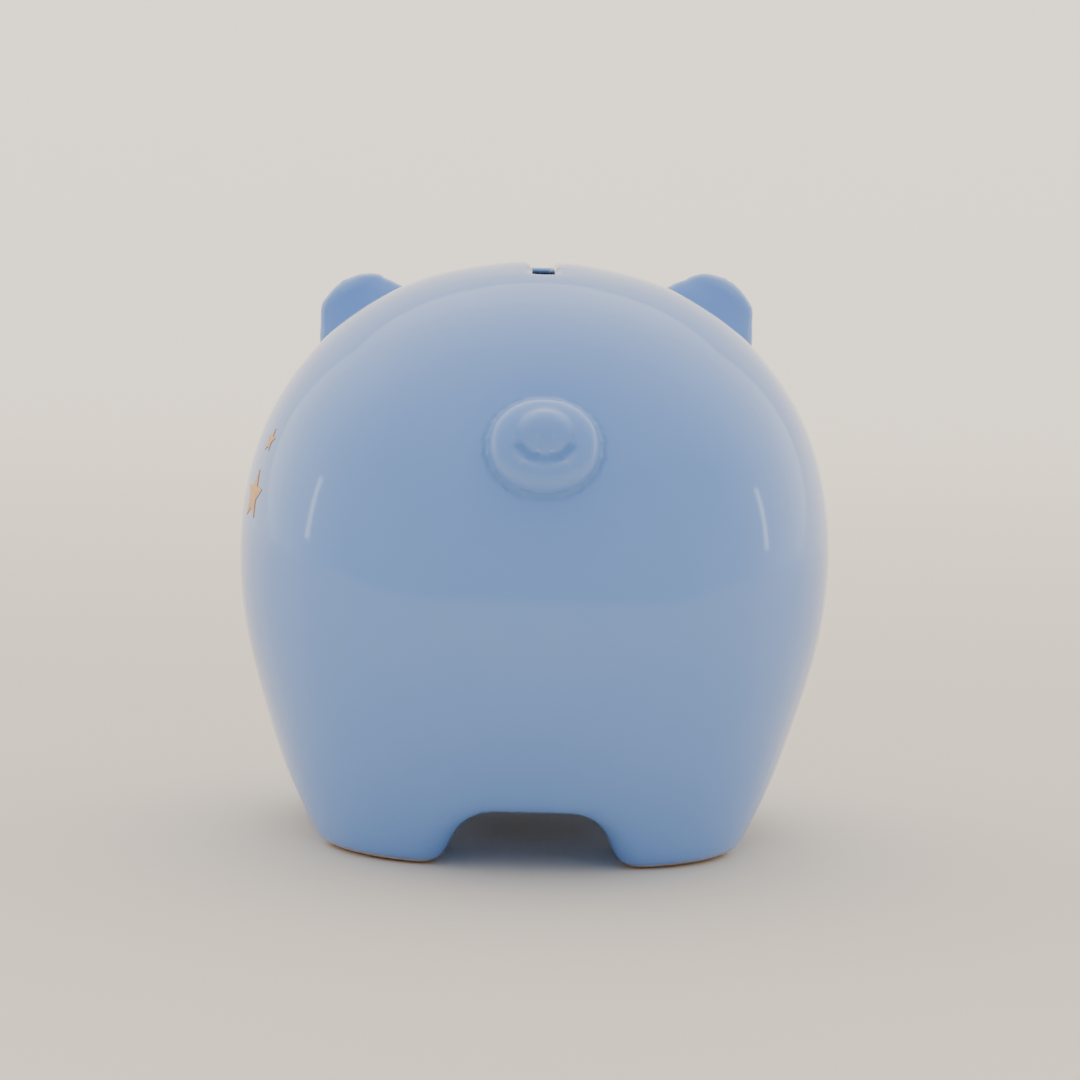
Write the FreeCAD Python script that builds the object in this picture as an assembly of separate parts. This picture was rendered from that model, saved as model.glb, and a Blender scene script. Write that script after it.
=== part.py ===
import FreeCAD, Part
import math
import os

V = FreeCAD.Vector

# A glazed pottery piggy bank that stands on four stub legs. Millimetres, +Z up,
# the snout looks to -Y, the pig's left flank is at +X and the floor is z = 0.

# overall sizes
bodyWidth = 130.0
bodyHeight = 125.6
frontReach = 71.0
rearReach = 68.0
wall = 4.5

# outline of the body: height share, width share, squareness of the cross section
bodyLevels = [
    (0.0, 0.735, 2.9),
    (0.08, 0.802, 2.7),
    (0.16, 0.86, 2.55),
    (0.27, 0.93, 2.4),
    (0.38, 0.981, 2.3),
    (0.5, 1.0, 2.2),
    (0.62, 0.976, 2.15),
    (0.73, 0.905, 2.1),
    (0.82, 0.795, 2.05),
    (0.89, 0.665, 2.0),
    (0.945, 0.5, 2.0),
    (0.98, 0.32, 2.0),
    (0.995, 0.165, 2.0),
]

# gaps between the legs
bellyHeight = 12.5
gapWidth = 38.0
gapLength = 44.0
gapCorner = 9.0
gapFlare = 5.5
legCorner = 9.0
gapRim = 5.5
footRim = 4.4

# coin slot
slotWidth = 4.8
slotLength = 36.0
slotRim = 0.9
slotCorner = 2.0

# belly hole and its stopper
holeWidth = 25.0
seatWidth = 33.0
seatDepth = 0.8
plugFit = 0.05
flangeWidth = 31.0
flangeThick = 1.6
flangeRim = 0.7
flangeGap = 0.05
plugInside = 2.4
plugLead = 1.0
plugWall = 1.8
plugFloor = 1.4
gripThick = 2.2

# ears
earLength = 38.0
earHalfWidth = 14.6
earThick = 9.5
earDish = 3.0
earTip = V(45.3, -43.0, 118.9)
rightEarLift = 2.2
earSplay = 33.0
earLean = 10.0
earLevels = [
    (0.0, 0.82, 1.0),
    (0.2, 0.94, 1.0),
    (0.4, 1.0, 0.97),
    (0.6, 0.94, 0.92),
    (0.76, 0.8, 0.86),
    (0.88, 0.6, 0.76),
    (0.96, 0.35, 0.55),
]

# tail
tailWidth = 22.6
tailHeight = 20.2
bossReach = 5.6
knobWidth = 14.8
knobHeight = 11.8
knobReach = 7.0
knobLift = 1.6
tailLevel = 90.3
grooveWidth = 2.6
grooveDepth = 1.6
grooveRadius = 6.6
grooveLift = 2.0
grooveArc = 130.0

# snout
snoutWidth = 37.0
snoutHeight = 28.0
snoutReach = 12.0
snoutRoot = 20.0
snoutLevel = 58.0
nostrilWidth = 4.6
nostrilHeight = 7.6
nostrilDepth = 3.5
nostrilSpread = 7.2

# eyes
eyeWidth = 6.0
eyeBulge = 1.2
eyeSpread = 24.0
eyeLevel = 81.0

# gold stars: centre along the flank, height, outer radius
starSkin = 0.25
starWaist = 0.46
largeStar = (22.0, 74.6, 5.6)
smallStar = (22.0, 86.5, 2.6)

# points on each cross section, enough for an even skin
ringPoints = 40


def ring(level, half, front, rear, squareness):
    # one closed cross section; equal steps of angle, so rings stack point on point
    points = []
    for step in range(ringPoints):
        angle = 2 * math.pi * step / ringPoints - math.pi / 2
        across = math.cos(angle)
        along = math.sin(angle)
        reach = front if along < 0 else rear
        spread = abs(across / half) ** squareness + abs(along / reach) ** squareness
        radius = spread ** (-1.0 / squareness)
        points.append(V(radius * across, radius * along, level))
    return points


def closed_skin(rings, crown):
    # a smooth solid through stacked rings: flat at the first, rounded over at the crown
    turns = [float(step) for step in range(ringPoints + 1)]
    polygons = []
    for points in rings:
        around = Part.BSplineCurve()
        around.interpolate(Points=points, PeriodicFlag=True, Parameters=turns)
        polygons.append(around.getPoles())
    heights = [0.0]
    spine = [points[0] for points in rings] + [crown]
    for lower, upper in zip(spine, spine[1:]):
        heights.append(heights[-1] + (upper - lower).Length)
    net = []
    for column in range(len(polygons[0])):
        points = [polygon[column] for polygon in polygons] + [crown]
        start = (points[1] - points[0]).normalize()
        inward = V(crown.x - points[-2].x, crown.y - points[-2].y, 0).normalize()
        rise = Part.BSplineCurve()
        rise.interpolate(Points=points, InitialTangent=start, FinalTangent=inward,
                         Parameters=heights)
        net.append(rise.getPoles())
    surface = Part.BSplineSurface()
    surface.buildFromPolesMultsKnots(net, around.getMultiplicities(), rise.getMultiplicities(),
                                     around.getKnots(), rise.getKnots(), True, False, 3, 3)
    side = surface.toShape()
    rim = [edge for edge in side.Edges
           if not edge.Degenerated and edge.BoundBox.ZLength < 1e-4]
    floor = Part.Face(Part.Wire(rim))
    solid = Part.Solid(Part.Shell([side, floor]))
    solid.fix(1e-4, 1e-4, 1e-4)
    if solid.Volume < 0:
        solid.reverse()
    return solid


def body_skin(inset):
    # the outer skin (inset 0) or the same form drawn in all round by the inset
    rings = []
    tall = bodyHeight - 2 * inset
    for share, width, squareness in bodyLevels:
        half = width * (bodyWidth / 2 - inset)
        rings.append(ring(inset + share * tall, half, width * (frontReach - inset),
                          width * (rearReach - inset), squareness))
    return closed_skin(rings, V(0, 0, bodyHeight - inset))


def outward(shape, x, level, facing):
    # the point where a level line along Y leaves the body, and the way straight out there
    line = Part.makeLine(V(x, 0, level), V(x, facing * bodyHeight * 2, level))
    leaving = line.common(shape)
    spot = max((vertex.Point for vertex in leaving.Vertexes), key=lambda p: facing * p.y)
    face = min(shape.Faces, key=lambda f: f.distToShape(Part.Vertex(spot))[0])
    u, v = face.Surface.parameter(spot)
    return spot, face.normalAt(u, v)


def place(shape, spot, up, turn=0.0):
    # stand a shape built on z = 0 on a spot, with its own +Z along up
    shape.rotate(V(0, 0, 0), V(0, 0, 1), turn)
    swing = FreeCAD.Rotation(V(0, 0, 1), up)
    shape.Placement = FreeCAD.Placement(spot, swing).multiply(shape.Placement)
    return shape


def biggest(shape):
    return max(shape.Solids, key=lambda solid: solid.Volume)


def gap_outline(level, across, along, far):
    # plan of the space between four legs: a cross whose inner corners are rounded
    bend = legCorner * (1 - math.sqrt(0.5))
    edges = []
    ends = []
    for sx, sy in [(1, 1), (-1, 1), (-1, -1), (1, -1)]:
        outer = V(sx * far, sy * along, level)
        before = V(sx * (across + legCorner), sy * along, level)
        middle = V(sx * (across + bend), sy * (along + bend), level)
        after = V(sx * across, sy * (along + legCorner), level)
        last = V(sx * across, sy * far, level)
        edges += [Part.makeLine(outer, before), Part.Arc(before, middle, after).toShape(),
                  Part.makeLine(after, last)]
        ends += [(outer, last) if sx == sy else (last, outer)]
    for arm in range(4):
        edges.append(Part.makeLine(ends[arm][1], ends[(arm + 1) % 4][0]))
    return Part.Wire(Part.__sortEdges__(edges))


def leg_gap():
    # flared below, rounded under the belly, and running out past the body on all four sides
    far = bodyHeight + bodyWidth
    flare = gapFlare / bellyHeight
    below = bellyHeight / 2
    low = gap_outline(-below, gapWidth / 2 + below * flare, gapLength / 2 + below * flare, far)
    high = gap_outline(bellyHeight, gapWidth / 2 - gapFlare, gapLength / 2 - gapFlare, far)
    gap = Part.makeLoft([low, high], True, True)
    sides = [edge for edge in gap.Edges
             if edge.BoundBox.ZMin > bellyHeight - 0.01
             and max(abs(edge.BoundBox.Center.x), abs(edge.BoundBox.Center.y)) < far - 1]
    return gap.makeFillet(gapCorner, sides)


def is_rim(edge, heart):
    # an edge between the gap and the outside of the body, and not one inside the gap
    if edge.Degenerated or edge.BoundBox.ZMax > bellyHeight + 0.1 or edge.BoundBox.ZMax < 0.3:
        return False
    middle = edge.valueAt((edge.FirstParameter + edge.LastParameter) / 2)
    return not heart.isInside(middle, 0.001, True)


def body_shell(skin):
    # the pot itself: skin, legs, hollow, coin slot and belly hole
    legs = biggest(skin.cut(leg_gap()).removeSplitter())
    heart = body_skin(0.5)
    heart.translate(V(0, 0, -0.5))
    legs = legs.makeFillet(gapRim, [edge for edge in legs.Edges if is_rim(edge, heart)])
    soles = [edge for edge in legs.Edges if not edge.Degenerated and edge.BoundBox.ZMax < 0.05]
    legs = legs.makeFillet(footRim, soles)

    ceiling = bellyHeight + wall
    hollow = body_skin(wall)
    hollow = biggest(hollow.cut(Part.makeBox(4 * bodyWidth, 4 * bodyWidth, ceiling,
                                             V(-2 * bodyWidth, -2 * bodyWidth, 0))))
    pot = legs.cut(hollow)

    deep = 2 * wall
    slot = Part.makeBox(slotWidth, slotLength, 2 * deep,
                        V(-slotWidth / 2, -slotLength / 2, bodyHeight - deep))
    upright = [edge for edge in slot.Edges if edge.BoundBox.ZLength > deep]
    slot = slot.makeFillet(slotCorner, upright)
    pot = pot.cut(slot)
    mouth = [edge for edge in pot.Edges if not edge.Degenerated
             and edge.BoundBox.ZMin > bodyHeight - wall * 0.9
             and edge.BoundBox.XLength < slotWidth + 0.1
             and edge.BoundBox.YLength < slotLength + 0.1
             and abs(edge.BoundBox.Center.y) < slotLength / 2 + 0.1
             and edge.BoundBox.ZLength < wall * 0.6]
    pot = pot.makeFillet(slotRim, mouth)

    seat = Part.makeCylinder(seatWidth / 2, bellyHeight + seatDepth, V(0, 0, 0))
    hole = Part.makeCylinder(holeWidth / 2, ceiling + wall, V(0, 0, 0))
    return biggest(pot.cut(seat.fuse(hole)))


def stopper():
    # a soft plug: a flange on the seat, a hollow plug in the hole and a bar to pull it by
    seat = bellyHeight + seatDepth - flangeGap
    low = seat - flangeThick
    plug = holeWidth / 2 - plugFit
    top = bellyHeight + wall + plugInside
    flange = Part.makeCylinder(flangeWidth / 2, flangeThick, V(0, 0, low))
    flange = flange.makeFillet(flangeRim, [flange.Edges[0], flange.Edges[2]])
    body = Part.makeCylinder(plug, top - low, V(0, 0, low))
    lead = [edge for edge in body.Edges
            if edge.BoundBox.ZMin > top - 0.01 and not edge.Degenerated]
    body = body.makeChamfer(plugLead, lead)
    whole = flange.fuse(body).removeSplitter()
    cup = Part.makeCylinder(plug - plugWall, top - plugFloor - low, V(0, 0, low))
    bar = Part.makeBox(2 * holeWidth, gripThick, top, V(-holeWidth, -gripThick / 2, low))
    return biggest(whole.cut(cup.cut(bar)))


def ear(side, skin):
    # a thick leaf, splayed outward and leaning forward, with a shallow dish in front
    rings = []
    for share, width, depth in earLevels:
        points = []
        for step in range(ringPoints):
            angle = 2 * math.pi * step / ringPoints - math.pi / 2
            back = math.sin(angle)
            dish = earDish * depth * max(0.0, -back) ** 4
            points.append(V(earHalfWidth * width * math.cos(angle),
                            earThick / 2 * depth * back + dish, share * earLength))
        rings.append(points)
    leaf = closed_skin(rings, V(0, 0, earLength))
    leaf.translate(V(0, 0, -earLength))
    leaf.rotate(V(0, 0, 0), V(1, 0, 0), earLean)
    leaf.rotate(V(0, 0, 0), V(0, 1, 0), earSplay)
    leaf.translate(earTip)
    if side < 0:
        leaf = leaf.mirror(V(0, 0, 0), V(1, 0, 0))
        leaf.translate(V(0, 0, rightEarLift))
    return biggest(leaf.cut(skin))


def cushion(wide, tall, reach, sunk, squareness, roundness):
    # a domed pad on z = 0 that carries on straight below it by the sunk depth
    rings = []
    for share in [-sunk / reach, 0.0, 0.35, 0.6, 0.8, 0.93, 0.985]:
        swell = (1 - max(share, 0.0) ** roundness) ** (1 / roundness)
        rings.append(ring(share * reach, wide / 2 * swell, tall / 2 * swell,
                          tall / 2 * swell, squareness))
    return closed_skin([[p + V(0, 0, sunk) for p in points] for points in rings],
                       V(0, 0, reach + sunk)).translated(V(0, 0, -sunk))


def tail(skin):
    # a round boss with a curled tip: a knob over a crescent groove
    spot, up = outward(skin, 0, tailLevel, 1)
    boss = cushion(tailWidth, tailHeight, bossReach, wall, 2.1, 2.4)
    knob = cushion(knobWidth, knobHeight, knobReach, wall, 2.0, 2.4)
    knob.translate(V(0, knobLift, 0))
    curl = boss.fuse(knob)
    groove = Part.makeTorus(grooveRadius, grooveWidth / 2, V(0, 0, 0), V(0, 0, 1),
                            -180, 180, grooveArc)
    groove.rotate(V(0, 0, 0), V(0, 0, 1), -90 - grooveArc / 2)
    groove.translate(V(0, grooveLift, bossReach + grooveWidth / 2 - grooveDepth))
    curl = curl.cut(groove)
    return biggest(place(curl, spot, up, 180).cut(skin))


def snout(skin):
    # an oval disc with a rounded rim and two nostril dimples, square to the pig's length
    spot = outward(skin, 0, snoutLevel, -1)[0]
    disc = cushion(snoutWidth, snoutHeight, snoutReach, snoutRoot, 2.1, 4.5)
    for side in (-1, 1):
        dimple = Part.makeSphere(1.0)
        stretch = FreeCAD.Matrix()
        stretch.scale(nostrilWidth / 2, nostrilHeight / 2, nostrilDepth)
        dimple = dimple.transformGeometry(stretch)
        dimple.translate(V(side * nostrilSpread, 0, snoutReach))
        disc = disc.cut(dimple)
    return biggest(place(disc, spot, V(0, -1, 0)).cut(skin))


def eye(side, skin):
    # a low round bead of glaze on the face
    spot, up = outward(skin, side * eyeSpread, eyeLevel, -1)
    radius = (eyeWidth ** 2 / 4 + eyeBulge ** 2) / (2 * eyeBulge)
    bead = Part.makeSphere(radius, spot - up * (radius - eyeBulge))
    return biggest(bead.cut(skin))


def star(centre, skin, film):
    # a five-pointed patch of the thin gold film, laid on the left flank
    along, level, outer = centre
    corners = []
    for step in range(10):
        angle = math.pi / 2 + step * math.pi / 5
        reach = outer if step % 2 == 0 else outer * starWaist
        corners.append(V(0, along + reach * math.cos(angle), level + reach * math.sin(angle)))
    patch = Part.Face(Part.makePolygon(corners + corners[:1]))
    stamp = patch.extrude(V(bodyWidth, 0, 0))
    return biggest(film.common(stamp).cut(skin))


def main():
    skin = body_skin(0)
    film = body_skin(-starSkin)
    nodes = {
        "body_shell": body_shell(skin),
        "stopper": stopper(),
        "left_ear": ear(1, skin),
        "right_ear": ear(-1, skin),
        "tail": tail(skin),
        "snout": snout(skin),
        "left_eye": eye(1, skin),
        "right_eye": eye(-1, skin),
        "gold_star_large": star(largeStar, skin, film),
        "gold_star_small": star(smallStar, skin, film),
    }
    # the origin is on the floor, halfway from the snout to the tail
    foremost = nodes["snout"].optimalBoundingBox().YMin
    rearmost = max(nodes["tail"].optimalBoundingBox().YMax, rearReach)
    os.makedirs("parts", exist_ok=True)
    for name, shape in nodes.items():
        shape.translate(V(0, -(foremost + rearmost) / 2, 0))
        shape.exportStep("parts/" + name + ".step")


main()
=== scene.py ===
import bpy
import bmesh
import math
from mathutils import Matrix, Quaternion, Vector


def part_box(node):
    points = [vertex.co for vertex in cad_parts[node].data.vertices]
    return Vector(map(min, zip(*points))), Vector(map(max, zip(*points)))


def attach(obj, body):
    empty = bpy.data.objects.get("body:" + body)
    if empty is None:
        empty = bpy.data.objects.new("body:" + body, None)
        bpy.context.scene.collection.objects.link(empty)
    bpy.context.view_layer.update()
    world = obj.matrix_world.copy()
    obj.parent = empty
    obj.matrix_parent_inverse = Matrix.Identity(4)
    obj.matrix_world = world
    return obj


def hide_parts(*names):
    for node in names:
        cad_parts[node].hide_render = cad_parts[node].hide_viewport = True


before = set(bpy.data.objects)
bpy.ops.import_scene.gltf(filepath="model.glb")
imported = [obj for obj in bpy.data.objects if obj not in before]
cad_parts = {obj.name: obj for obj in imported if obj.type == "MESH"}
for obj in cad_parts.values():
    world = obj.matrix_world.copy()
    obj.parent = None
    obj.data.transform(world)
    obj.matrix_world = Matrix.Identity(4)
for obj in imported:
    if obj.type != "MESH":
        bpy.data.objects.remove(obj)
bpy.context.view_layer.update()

mm = 0.001


def clearSelection():
    if bpy.context.object and bpy.context.object.mode != "OBJECT":
        bpy.ops.object.mode_set(mode="OBJECT")
    bpy.ops.object.select_all(action="DESELECT")


def makeActive(piece):
    clearSelection()
    piece.select_set(True)
    bpy.context.view_layer.objects.active = piece


def middle(nodeName):
    low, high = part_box(nodeName)
    return (Vector(low) + Vector(high)) / 2


def editPick(piece, test, pick="FACE"):
    # leaves the piece in edit mode with only the faces (or edges) that pass the test selected
    makeActive(piece)
    bpy.ops.object.mode_set(mode="EDIT")
    bpy.ops.mesh.select_mode(type=pick)
    bpy.ops.mesh.select_all(action="DESELECT")
    mesh = bmesh.from_edit_mesh(piece.data)
    for part in mesh.faces if pick == "FACE" else mesh.edges:
        spots = [corner.co for corner in part.verts]
        if test(sum(spots, Vector()) / len(spots), part):
            part.select_set(True)
    mesh.select_flush_mode()
    bmesh.update_edit_mesh(piece.data)


def applyModifier(piece, kind, **settings):
    makeActive(piece)
    step = piece.modifiers.new(kind.lower(), kind)
    for name, value in settings.items():
        setattr(step, name, value)
    bpy.ops.object.modifier_apply(modifier=step.name)


def mergedCopy(nodes, name):
    # one object from copies of CAD nodes, their loose triangles joined up
    copies = []
    for nodeName in nodes:
        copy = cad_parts[nodeName].copy()
        copy.data = copy.data.copy()
        copy.parent = None
        for key in list(copy.keys()):
            del copy[key]
        bpy.context.scene.collection.objects.link(copy)
        copies.append(copy)
    clearSelection()
    for copy in copies:
        copy.hide_set(False)
        copy.hide_render = False
        copy.select_set(True)
    bpy.context.view_layer.objects.active = copies[0]
    if len(copies) > 1:
        bpy.ops.object.join()
    joined = bpy.context.view_layer.objects.active
    joined.name = name
    joined.data.name = name
    joined.data.materials.clear()
    bpy.ops.object.mode_set(mode="EDIT")
    bpy.ops.mesh.select_all(action="SELECT")
    bpy.ops.mesh.remove_doubles(threshold=0.002 * mm)
    bpy.ops.object.mode_set(mode="OBJECT")
    return joined


def ease(value, low, high):
    share = min(max((value - low) / (high - low), 0.0), 1.0)
    return share * share * (3 - 2 * share)


# the pot: trunk, legs, ears, snout and tail under one skin of glaze
glazedPot = {
    "clay": ["body_shell", "left_ear", "right_ear", "snout", "tail"],
    "grain": 1.6 * mm,          # size of the skin's even quads
    "tailZone": 17 * mm,        # how far round the tail the skin is finer
    "earZone": 21 * mm,
    "snoutZone": 25 * mm,
    "slotZone": 7 * mm,
    "footZone": 19 * mm,
    "zoneFade": 9 * mm,
    "broadRounds": 46,          # rounds of smoothing on the trunk
    "fineRounds": 6,            # rounds of smoothing where there is detail
    "thinBend": (40, 260),      # how sharp an edge must be for the glaze to run thin, per metre
    "deepBend": (10, 130),      # and how sharp a crease for it to lie deep
    "softRounds": 9,           # and where the glaze fills the tail and the ears' edges
}


# middle, reach and number of cuts of each stretch of fine detail
detailSpots = [
    (middle("tail"), glazedPot["tailZone"], 2),
    (middle("left_ear"), glazedPot["earZone"], 1),
    (middle("right_ear"), glazedPot["earZone"], 1),
    (middle("snout"), glazedPot["snoutZone"], 1),
]
trunkMiddle = middle("stopper")
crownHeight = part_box("body_shell")[1][2]


def distanceToSlot(spot):
    along = max(abs(spot.y - trunkMiddle.y) - 17 * mm, 0.0)
    deep = max(crownHeight - 9 * mm - spot.z, 0.0)
    return Vector((spot.x - trunkMiddle.x, along, deep)).length


def calm(spot):
    # 1 on the broad trunk, 0 where the skin carries detail
    share = 1.0
    fade = glazedPot["zoneFade"]
    for centre, reach, cuts in detailSpots:
        share = min(share, ease((spot - centre).length, reach, reach + fade))
    slotZone = glazedPot["slotZone"]
    share = min(share, ease(distanceToSlot(spot), slotZone, slotZone + fade))
    return min(share, ease(spot.z, glazedPot["footZone"], glazedPot["footZone"] + fade))


def fill(spot):
    # 1 on the tail, less on the ears: how much the glaze rounds things over
    tail = 1 - ease((spot - detailSpots[0][0]).length, 13 * mm, 17 * mm)
    ears = [1 - ease((spot - detailSpots[side][0]).length, 17 * mm, 21 * mm) for side in (1, 2)]
    return max(tail, 0.5 * max(ears))


def slotShade(spot):
    # painted shade: 1 on the slot's cut walls, below the rounded lip, where the slot's inside is
    # coloured dark
    along = abs(spot.y - trunkMiddle.y)
    if abs(spot.x - trunkMiddle.x) > 3.4 * mm or along > 19.4 * mm:
        return 0.0
    depth = crownHeight - along ** 2 / (180 * mm) - spot.z
    return ease(depth, 0.5 * mm, 1.3 * mm) * (1 - ease(depth, 9 * mm, 11 * mm))


def markGlaze(pot):
    # glaze runs thin over sharp edges and lies deep in creases: two attributes from the skin's bend
    mesh = bmesh.new()
    mesh.from_mesh(pot.data)
    mesh.normal_update()
    bends = []
    for corner in mesh.verts:
        spokes = [edge.other_vert(corner).co - corner.co for edge in corner.link_edges]
        reach = sum(spoke.length_squared for spoke in spokes) / len(spokes)
        bends.append(sum(spokes, Vector()).dot(corner.normal) / len(spokes) / reach)
    mesh.free()
    thin = pot.data.attributes.new("thin", "FLOAT", "POINT")
    thin.data.foreach_set("value", [ease(-bend, *glazedPot["thinBend"]) for bend in bends])
    deep = pot.data.attributes.new("deep", "FLOAT", "POINT")
    deep.data.foreach_set("value", [ease(bend, *glazedPot["deepBend"]) for bend in bends])
    # a painted-shade mask for the coin slot's inner walls, which are coloured near black
    slotShadeMask = pot.data.attributes.new("slotShadeMask", "FLOAT", "POINT")
    slotShadeMask.data.foreach_set("value", [slotShade(corner.co) for corner in pot.data.vertices])


def makePot():
    form = mergedCopy(glazedPot["clay"], "clay_form")
    makeActive(form)
    bpy.ops.object.duplicate()
    pot = bpy.context.view_layer.objects.active
    pot.name = "glazed_pot"
    pot.data.name = "glazed_pot"
    applyModifier(pot, "REMESH", mode="VOXEL", voxel_size=glazedPot["grain"], use_smooth_shade=True)
    for centre, reach, cuts in detailSpots:
        editPick(pot, lambda spot, face: (spot - centre).length < reach)
        bpy.ops.mesh.subdivide(number_cuts=cuts)
        bpy.ops.object.mode_set(mode="OBJECT")
    editPick(pot, lambda spot, face: distanceToSlot(spot) < glazedPot["slotZone"])
    bpy.ops.mesh.subdivide(number_cuts=1)
    bpy.ops.object.mode_set(mode="OBJECT")
    applyModifier(pot, "SHRINKWRAP", target=form, wrap_method="NEAREST_SURFACEPOINT")
    broad = pot.vertex_groups.new(name="broad")
    for corner in pot.data.vertices:
        broad.add([corner.index], calm(corner.co), "REPLACE")
    applyModifier(pot, "SMOOTH", factor=0.5, iterations=glazedPot["broadRounds"], vertex_group="broad")
    applyModifier(pot, "SMOOTH", factor=0.5, iterations=glazedPot["fineRounds"])
    soft = pot.vertex_groups.new(name="soft")
    for corner in pot.data.vertices:
        soft.add([corner.index], fill(corner.co), "REPLACE")
    applyModifier(pot, "SMOOTH", factor=0.5, iterations=glazedPot["softRounds"], vertex_group="soft")
    bpy.data.objects.remove(form)
    markGlaze(pot)
    makeActive(pot)
    bpy.ops.object.shade_smooth()
    triangles = sum(len(face.vertices) - 2 for face in pot.data.polygons)
    print("pot done:", triangles, "triangles")
    return pot


pot = makePot()
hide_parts(*glazedPot["clay"])
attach(pot, "bank")


def group(name, inputs, outputs):
    # an empty node group with named sockets
    tree = bpy.data.node_groups.new(name, "ShaderNodeTree")
    for socket, kind, value in inputs:
        made = tree.interface.new_socket(socket, in_out="INPUT", socket_type=kind)
        made.default_value = value
    for socket, kind in outputs:
        tree.interface.new_socket(socket, in_out="OUTPUT", socket_type=kind)
    return tree, tree.nodes.new("NodeGroupInput"), tree.nodes.new("NodeGroupOutput")


def addNode(tree, kind, links=None, **settings):
    # a node with its settings, and its inputs linked or set by name
    made = tree.nodes.new(kind)
    for name, value in settings.items():
        setattr(made, name, value)
    for socket, value in (links or {}).items():
        if isinstance(value, bpy.types.NodeSocket):
            tree.links.new(value, made.inputs[socket])
        else:
            made.inputs[socket].default_value = value
    return made


def makeWander():
    # slow cloudy change and fine grain over any surface
    tree, given, result = group(
        "surface_wander",
        [("Broad", "NodeSocketFloat", 40.0), ("Fine", "NodeSocketFloat", 400.0)],
        [("Cloud", "NodeSocketFloat"), ("Grain", "NodeSocketFloat")])
    place = addNode(tree, "ShaderNodeTexCoord")
    spot = place.outputs["Object"]
    cloud = addNode(tree, "ShaderNodeTexNoise", {"Vector": spot, "Scale": given.outputs["Broad"],
                                                 "Detail": 3.0, "Roughness": 0.45})
    grain = addNode(tree, "ShaderNodeTexNoise", {"Vector": spot, "Scale": given.outputs["Fine"],
                                                 "Detail": 2.0, "Roughness": 0.5})
    tree.links.new(cloud.outputs["Fac"], result.inputs["Cloud"])
    tree.links.new(grain.outputs["Fac"], result.inputs["Grain"])
    return tree


wander = makeWander()


def startMaterial(name):
    material = bpy.data.materials.new(name)
    material.use_nodes = True
    tree = material.node_tree
    return material, tree, tree.nodes["Principled BSDF"]


def wanderNode(tree, broad, fine):
    made = tree.nodes.new("ShaderNodeGroup")
    made.node_tree = wander
    made.inputs["Broad"].default_value = broad
    made.inputs["Fine"].default_value = fine
    return made


def mixColour(tree, share, first, second):
    made = addNode(tree, "ShaderNodeMix", data_type="RGBA")
    for socket, value in ((0, share), (6, first), (7, second)):
        if isinstance(value, bpy.types.NodeSocket):
            tree.links.new(value, made.inputs[socket])
        else:
            made.inputs[socket].default_value = value
    return made.outputs[2]


def mapRange(tree, value, fromMin, fromMax, toMin=0.0, toMax=1.0):
    limits = {"Value": value, "From Min": fromMin, "From Max": fromMax, "To Min": toMin, "To Max": toMax}
    return addNode(tree, "ShaderNodeMapRange", limits).outputs["Result"]


def addBump(tree, shader, height, distance, strength):
    bump = addNode(tree, "ShaderNodeBump",
                   {"Height": height, "Distance": distance, "Strength": strength})
    tree.links.new(bump.outputs["Normal"], shader.inputs["Normal"])


glazeLook = {
    "colour": (0.220, 0.408, 0.880, 1),
    "cloudColour": (0.234, 0.418, 0.880, 1),
    "thinColour": (0.50, 0.60, 0.74, 1),
    "deepGlazeAndShadeColour": (0.110, 0.270, 0.640, 1),
    "slotShadeColour": (0.012, 0.020, 0.040, 1),
    "clayColour": (0.62, 0.45, 0.31, 1),
    "paleClayColour": (0.72, 0.58, 0.45, 1),
    "speckColour": (0.06, 0.055, 0.06, 1),
    "glossRoughness": 0.085,
    "clayRoughness": 0.85,
    "clayHeight": 0.75 * mm,    # bare clay below this height, where the foot was wiped
}


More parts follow.
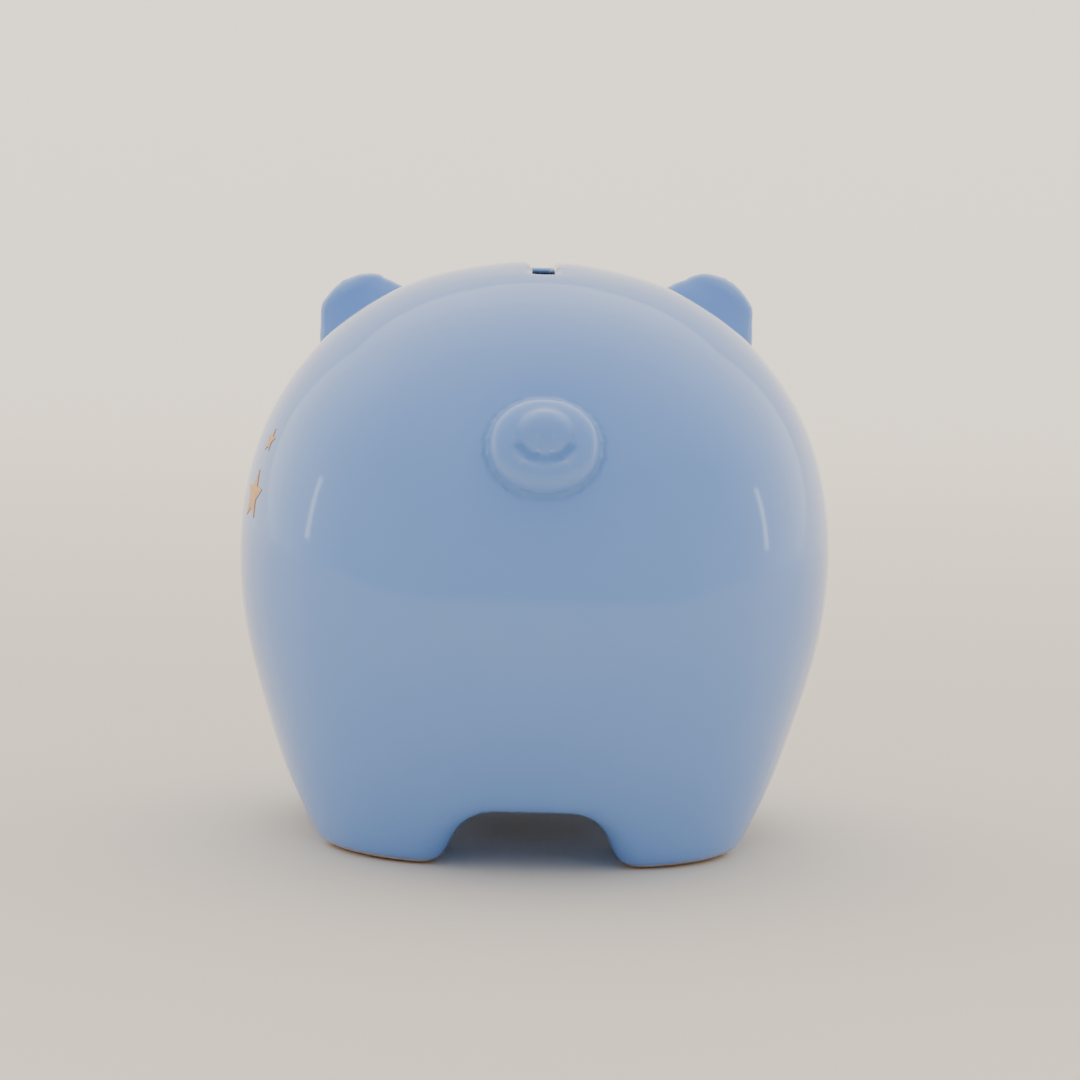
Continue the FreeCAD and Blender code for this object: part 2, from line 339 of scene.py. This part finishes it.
def glazeMaterial():
    material, tree, shader = startMaterial("pale_blue_glaze")
    place = addNode(tree, "ShaderNodeTexCoord").outputs["Object"]
    change = wanderNode(tree, 34.0, 620.0)
    colour = mixColour(tree, mapRange(tree, change.outputs["Cloud"], 0.36, 0.64),
                       glazeLook["colour"], glazeLook["cloudColour"])
    thin = addNode(tree, "ShaderNodeAttribute", attribute_name="thin").outputs["Fac"]
    deep = addNode(tree, "ShaderNodeAttribute", attribute_name="deep").outputs["Fac"]
    thinShare = mapRange(tree, thin, 0.0, 1.0, 0.0, 0.45)
    deepShare = mapRange(tree, deep, 0.0, 1.0, 0.0, 0.6)
    colour = mixColour(tree, thinShare, colour, glazeLook["thinColour"])
    colour = mixColour(tree, deepShare, colour, glazeLook["deepGlazeAndShadeColour"])
    # painted shade: the glaze is darkened towards the bottom of the body, where the belly and legs shade
    # it
    height = addNode(tree, "ShaderNodeSeparateXYZ", {"Vector": place}).outputs["Z"]
    lowShadeShare = mapRange(tree, height, 55 * mm, 12 * mm, 0.0, 0.28)
    colour = mixColour(tree, lowShadeShare, colour, glazeLook["deepGlazeAndShadeColour"])
    # painted shade: the slot's inner walls are coloured near black, as the slot lies dark inside
    slotShadeMask = addNode(tree, "ShaderNodeAttribute", attribute_name="slotShadeMask").outputs["Fac"]
    colour = mixColour(tree, slotShadeMask, colour, glazeLook["slotShadeColour"])
    # sparse iron specks under the glaze
    cells = addNode(tree, "ShaderNodeTexVoronoi", {"Vector": place, "Scale": 62.0}, feature="F1")
    chosen = mapRange(tree, addNode(tree, "ShaderNodeSeparateColor",
                                 {"Color": cells.outputs["Color"]}).outputs["Red"], 0.93, 0.94)
    dot = mapRange(tree, cells.outputs["Distance"], 0.022, 0.014)
    speck = addNode(tree, "ShaderNodeMath", {0: chosen, 1: dot}, operation="MULTIPLY").outputs[0]
    colour = mixColour(tree, speck, colour, glazeLook["speckColour"])
    # the soles are wiped bare, and the wiped line wanders a little
    edge = glazeLook["clayHeight"]
    wobble = mapRange(tree, change.outputs["Cloud"], 0.3, 0.7, -0.35 * mm, 0.35 * mm)
    level = addNode(tree, "ShaderNodeMath", {0: height, 1: wobble}, operation="ADD").outputs[0]
    bare = mapRange(tree, level, edge + 0.12 * mm, edge - 0.12 * mm)
    grit = mapRange(tree, change.outputs["Grain"], 0.35, 0.65)
    clay = mixColour(tree, grit, glazeLook["clayColour"], glazeLook["paleClayColour"])
    colour = mixColour(tree, bare, colour, clay)
    tree.links.new(colour, shader.inputs["Base Color"])
    rough = mapRange(tree, bare, 0.0, 1.0, glazeLook["glossRoughness"], glazeLook["clayRoughness"])
    tree.links.new(rough, shader.inputs["Roughness"])
    tree.links.new(mapRange(tree, bare, 0.0, 1.0, 0.12, 0.0), shader.inputs["Coat Weight"])
    shader.inputs["Coat Roughness"].default_value = 0.035
    shader.inputs["IOR"].default_value = 1.45
    # the glaze lies a little wavy, with a faint orange-peel
    wave = addNode(tree, "ShaderNodeTexNoise", {"Vector": place, "Scale": 26.0, "Detail": 1.0})
    addBump(tree, shader, wave.outputs["Fac"], 0.7 * mm, 0.35)
    return material


darkLook = {"colour": (0.010, 0.011, 0.014, 1), "roughness": 0.06}


def darkMaterial():
    material, tree, shader = startMaterial("black_glaze")
    change = wanderNode(tree, 160.0, 900.0)
    colour = mixColour(tree, change.outputs["Cloud"], darkLook["colour"], (0.025, 0.027, 0.032, 1))
    tree.links.new(colour, shader.inputs["Base Color"])
    shader.inputs["Roughness"].default_value = darkLook["roughness"]
    shader.inputs["Coat Weight"].default_value = 0.5
    addBump(tree, shader, change.outputs["Grain"], 0.05 * mm, 0.2)
    return material


goldLook = {"colour": (0.62, 0.30, 0.07, 1), "wornColour": (0.52, 0.29, 0.11, 1)}


def goldMaterial():
    material, tree, shader = startMaterial("gold_lustre")
    change = wanderNode(tree, 420.0, 2600.0)
    worn = mapRange(tree, change.outputs["Cloud"], 0.45, 0.7)
    colour = mixColour(tree, worn, goldLook["colour"], goldLook["wornColour"])
    tree.links.new(colour, shader.inputs["Base Color"])
    rough = mapRange(tree, change.outputs["Grain"], 0.3, 0.7, 0.22, 0.42)
    tree.links.new(rough, shader.inputs["Roughness"])
    shader.inputs["Metallic"].default_value = 0.85
    addBump(tree, shader, change.outputs["Grain"], 0.03 * mm, 0.4)
    return material


plugLook = {"colour": (0.018, 0.018, 0.020, 1), "dustColour": (0.055, 0.054, 0.052, 1)}


def plugMaterial():
    material, tree, shader = startMaterial("soft_plug")
    change = wanderNode(tree, 110.0, 1500.0)
    dust = mapRange(tree, change.outputs["Cloud"], 0.45, 0.75)
    colour = mixColour(tree, dust, plugLook["colour"], plugLook["dustColour"])
    tree.links.new(colour, shader.inputs["Base Color"])
    rough = mapRange(tree, change.outputs["Cloud"], 0.3, 0.7, 0.42, 0.6)
    tree.links.new(rough, shader.inputs["Roughness"])
    addBump(tree, shader, change.outputs["Grain"], 0.08 * mm, 0.5)
    return material


def dress(piece, material):
    piece.data.materials.clear()
    piece.data.materials.append(material)


dress(pot, glazeMaterial())
darkGlaze = darkMaterial()
for eyeNode in ("left_eye", "right_eye"):
    dress(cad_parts[eyeNode], darkGlaze)
print("glazes done")


# gold stars on the left flank
goldStar = {
    "waist": 0.46,              # inner corners' reach as a share of the points'
    "cuts": 7,
    "lift": 0.14 * mm,          # how far the film's face stands off the glaze
    "film": 0.20 * mm,
}


def makeStar(nodeName, material):
    low, high = (Vector(corner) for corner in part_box(nodeName))
    radius = (high.z - low.z) / (1 + math.cos(math.pi / 5))
    centre = Vector((high.x + 3 * mm, (low.y + high.y) / 2, high.z - radius))
    clearSelection()
    bpy.ops.mesh.primitive_circle_add(vertices=10, radius=radius, fill_type="TRIFAN", location=centre,
                                      rotation=(math.pi / 2, 0, math.pi / 2))
    star = bpy.context.object
    star.name = nodeName + "_film"
    star.data.name = star.name
    bpy.ops.object.transform_apply(location=True, rotation=True, scale=True)
    for corner in star.data.vertices:   # every other corner is drawn in to the waist
        away = corner.co - centre
        turn = math.degrees(math.atan2(away.y, away.z)) % 72
        if away.length > radius / 2 and 30 < turn < 42:
            corner.co = centre + away * goldStar["waist"]
    makeActive(star)
    bpy.ops.object.mode_set(mode="EDIT")
    bpy.ops.mesh.select_all(action="SELECT")
    bpy.ops.mesh.subdivide(number_cuts=goldStar["cuts"])
    bpy.ops.object.mode_set(mode="OBJECT")
    applyModifier(star, "SHRINKWRAP", target=pot, wrap_method="PROJECT", use_project_x=True,
                  use_project_y=False, use_project_z=False, use_negative_direction=True,
                  use_positive_direction=False, offset=goldStar["lift"])
    applyModifier(star, "SOLIDIFY", thickness=goldStar["film"], offset=-1.0)
    makeActive(star)
    bpy.ops.object.mode_set(mode="EDIT")
    bpy.ops.mesh.select_all(action="SELECT")
    bpy.ops.mesh.normals_make_consistent(inside=False)
    bpy.ops.object.mode_set(mode="OBJECT")
    bpy.ops.object.shade_smooth_by_angle(angle=math.radians(40))
    dress(star, material)
    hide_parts(nodeName)
    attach(star, "bank")


goldFilm = goldMaterial()
makeStar("gold_star_large", goldFilm)
makeStar("gold_star_small", goldFilm)
print("stars done")


# the plug that closes the hole in the belly
plug = {
    "sides": 96,
    "rim": 0.5 * mm,            # rounding of the flange's edge
    "wall": 1.8 * mm,
    "crown": 1.4 * mm,          # thickness across the top of the plug
    "flange": 1.6 * mm,
    "shank": 12.45 * mm,
    "lead": 1.0 * mm,
    "bar": 2.2 * mm,
}


def growRings(name, centre, rings):
    # a turned form: one ring extruded and resized to each next radius and height, then capped
    clearSelection()
    radius, level = rings[0]
    bpy.ops.mesh.primitive_circle_add(vertices=plug["sides"], radius=radius, fill_type="NGON",
                                      location=(centre.x, centre.y, level))
    form = bpy.context.object
    form.name = name
    form.data.name = name
    bpy.ops.object.transform_apply(location=True, rotation=True, scale=True)
    bpy.ops.object.mode_set(mode="EDIT")
    bpy.ops.mesh.select_all(action="SELECT")
    for newRadius, newLevel in rings[1:]:
        bpy.ops.mesh.extrude_edges_move(TRANSFORM_OT_translate={"value": (0, 0, newLevel - level)})
        share = newRadius / radius
        bpy.ops.transform.resize(value=(share, share, 1))
        radius, level = newRadius, newLevel
    bpy.ops.mesh.edge_face_add()
    bpy.ops.mesh.select_all(action="SELECT")
    bpy.ops.mesh.normals_make_consistent(inside=False)
    bpy.ops.object.mode_set(mode="OBJECT")
    return form


def makePlug():
    low, high = (Vector(corner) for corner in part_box("stopper"))
    centre = (low + high) / 2
    out = (high.x - low.x) / 2
    rim = plug["rim"]
    hollow = plug["shank"] - plug["wall"]
    seat = low.z + plug["flange"]
    rings = [
        (plug["shank"] - plug["lead"], high.z),
        (plug["shank"], high.z - plug["lead"]),
        (plug["shank"], seat),
        (out - rim, seat),
        (out - 0.3 * rim, seat - 0.3 * rim),
        (out, seat - rim),
        (out, low.z + rim),
        (out - 0.3 * rim, low.z + 0.3 * rim),
        (out - rim, low.z),
        (hollow + 0.4 * mm, low.z),
        (hollow, low.z + 0.4 * mm),
        (hollow, high.z - plug["crown"]),
    ]
    body = growRings("belly_plug", centre, rings)
    clearSelection()
    barLevel = (low.z + high.z - plug["crown"]) / 2 + 0.3 * mm
    bpy.ops.mesh.primitive_cube_add(size=1.0, location=(centre.x, centre.y, barLevel))
    bar = bpy.context.object
    bar.scale = (2 * hollow + 0.4 * mm, plug["bar"], high.z - plug["crown"] - low.z)
    bpy.ops.object.transform_apply(location=True, rotation=True, scale=True)
    applyModifier(bar, "BEVEL", width=0.4 * mm, segments=3)
    clearSelection()
    bar.select_set(True)
    body.select_set(True)
    bpy.context.view_layer.objects.active = body
    bpy.ops.object.join()
    bpy.ops.object.shade_smooth_by_angle(angle=math.radians(35))
    dress(body, plugMaterial())
    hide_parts("stopper")
    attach(body, "stopper")


makePlug()
print("plug done")


# floor, light and camera
studio = {
    "paperColour": (0.88, 0.79, 0.67, 1),
    "glowColour": (1.0, 0.89, 0.75, 1),
    "glow": 0.92,                             # how much the backdrop shines by itself
    "roomColour": (0.57, 0.62, 0.70, 1),      # what the glaze mirrors behind the camera
    "tentColour": (2.70, 2.46, 2.10, 1),      # and beyond the pig
    "skyColour": (0.72, 0.67, 0.61, 1),      # what the camera sees past the paper
    "tableEdge": 0.36,
    "cameraDistance": 0.8064,
    "cameraHeight": 0.1522,
    "cameraTurn": 178.57,
    "cameraPitch": 6.28,
    "cameraRoll": 1.74,
    "cameraAside": 0.0014,
    "lens": 121.0,
}


def makeSweep():
    # paper that lies level under the pig and curves up into a backdrop
    clearSelection()
    bpy.ops.mesh.primitive_plane_add(size=1.0, location=(0, 0, 0))
    sweep = bpy.context.object
    sweep.name = "paper_sweep"
    far = 2.2
    sweep.scale = (3.6, far + studio["tableEdge"], 1)
    sweep.location = (0, (studio["tableEdge"] - far) / 2, -0.1 * mm)
    bpy.ops.object.transform_apply(location=True, rotation=True, scale=True)
    editPick(sweep, lambda spot, edge: spot.y < -far + 0.1, "EDGE")
    bpy.ops.mesh.extrude_edges_move(TRANSFORM_OT_translate={"value": (0, 0, 1.9)})
    bpy.ops.object.mode_set(mode="OBJECT")
    editPick(sweep, lambda spot, edge: spot.y < -far + 0.1 and spot.z < 0.01, "EDGE")
    bpy.ops.mesh.bevel(offset=1.2, segments=40, affect="EDGES")
    bpy.ops.object.mode_set(mode="OBJECT")
    bpy.ops.object.shade_smooth()
    material, tree, shader = startMaterial("cream_paper")
    change = wanderNode(tree, 1.6, 300.0)
    faded = [0.985 * part for part in studio["paperColour"][:3]] + [1]
    colour = mixColour(tree, change.outputs["Cloud"], studio["paperColour"], faded)
    tree.links.new(colour, shader.inputs["Base Color"])
    shader.inputs["Roughness"].default_value = 0.75
    place = addNode(tree, "ShaderNodeTexCoord").outputs["Object"]
    depth = addNode(tree, "ShaderNodeSeparateXYZ", {"Vector": place}).outputs["Y"]
    shader.inputs["Emission Color"].default_value = studio["glowColour"]
    glow = mapRange(tree, depth, -0.15, -1.7, 0.0, studio["glow"])
    tree.links.new(glow, shader.inputs["Emission Strength"])
    sweep.data.materials.append(material)


def lightStand(name, lamp, place, aim):
    stand = bpy.data.objects.new(name, lamp)
    stand.location = place
    stand.rotation_mode = "QUATERNION"
    stand.rotation_quaternion = (Vector(place) - Vector(aim)).to_track_quat("Z", "Y")
    bpy.context.scene.collection.objects.link(stand)


def areaLight(name, place, aim, size, power, colour=(1, 1, 1)):
    lamp = bpy.data.lights.new(name, "AREA")
    lamp.shape = "RECTANGLE"
    lamp.size, lamp.size_y = size
    lamp.energy = power
    lamp.color = colour
    lightStand(name, lamp, place, aim)


def makeLights():
    warm = (1.0, 0.98, 0.94)
    areaLight("left_strip", (0.9, -0.08, 0.22), (0, 0, 0.09), (0.04, 0.24), 0.13, warm)
    areaLight("right_strip", (-0.9, -0.08, 0.22), (0, 0, 0.09), (0.04, 0.24), 0.13, warm)


def makeRoom():
    world = bpy.data.worlds.new("room")
    bpy.context.scene.world = world
    world.use_nodes = True
    tree = world.node_tree
    direction = addNode(tree, "ShaderNodeTexCoord").outputs["Generated"]
    parts = addNode(tree, "ShaderNodeSeparateXYZ", {"Vector": direction})
    behind = mapRange(tree, parts.outputs["Y"], 0.20, -0.80)
    above = mapRange(tree, parts.outputs["Z"], 0.45, 1.0, 0.0, 0.30)
    both = addNode(tree, "ShaderNodeMath", {0: behind, 1: above}, operation="ADD", use_clamp=True)
    tent = both.outputs[0]
    around = mixColour(tree, tent, studio["roomColour"], studio["tentColour"])
    seen = addNode(tree, "ShaderNodeLightPath").outputs["Is Camera Ray"]
    background = tree.nodes["Background"]
    tree.links.new(mixColour(tree, seen, around, studio["skyColour"]), background.inputs["Color"])
    background.inputs["Strength"].default_value = 1.0


def makeCamera():
    camera = bpy.data.cameras.new("camera")
    camera.lens = studio["lens"]
    camera.sensor_width = 36
    stand = bpy.data.objects.new("camera", camera)
    turn = math.radians(studio["cameraTurn"])
    pitch = math.radians(studio["cameraPitch"])
    away = studio["cameraDistance"]
    aside = Vector((math.cos(turn), math.sin(turn), 0)) * studio["cameraAside"]
    toCamera = Vector((math.sin(turn), -math.cos(turn), 0))
    stand.location = toCamera * away + Vector((0, 0, studio["cameraHeight"])) + aside
    back = toCamera * math.cos(pitch) + Vector((0, 0, math.sin(pitch)))
    stand.rotation_mode = "QUATERNION"
    roll = Quaternion((0, 0, 1), math.radians(studio["cameraRoll"]))
    stand.rotation_quaternion = back.to_track_quat("Z", "Y") @ roll
    bpy.context.scene.collection.objects.link(stand)
    bpy.context.scene.camera = stand


makeSweep()
makeLights()
makeRoom()
makeCamera()
print("studio done")
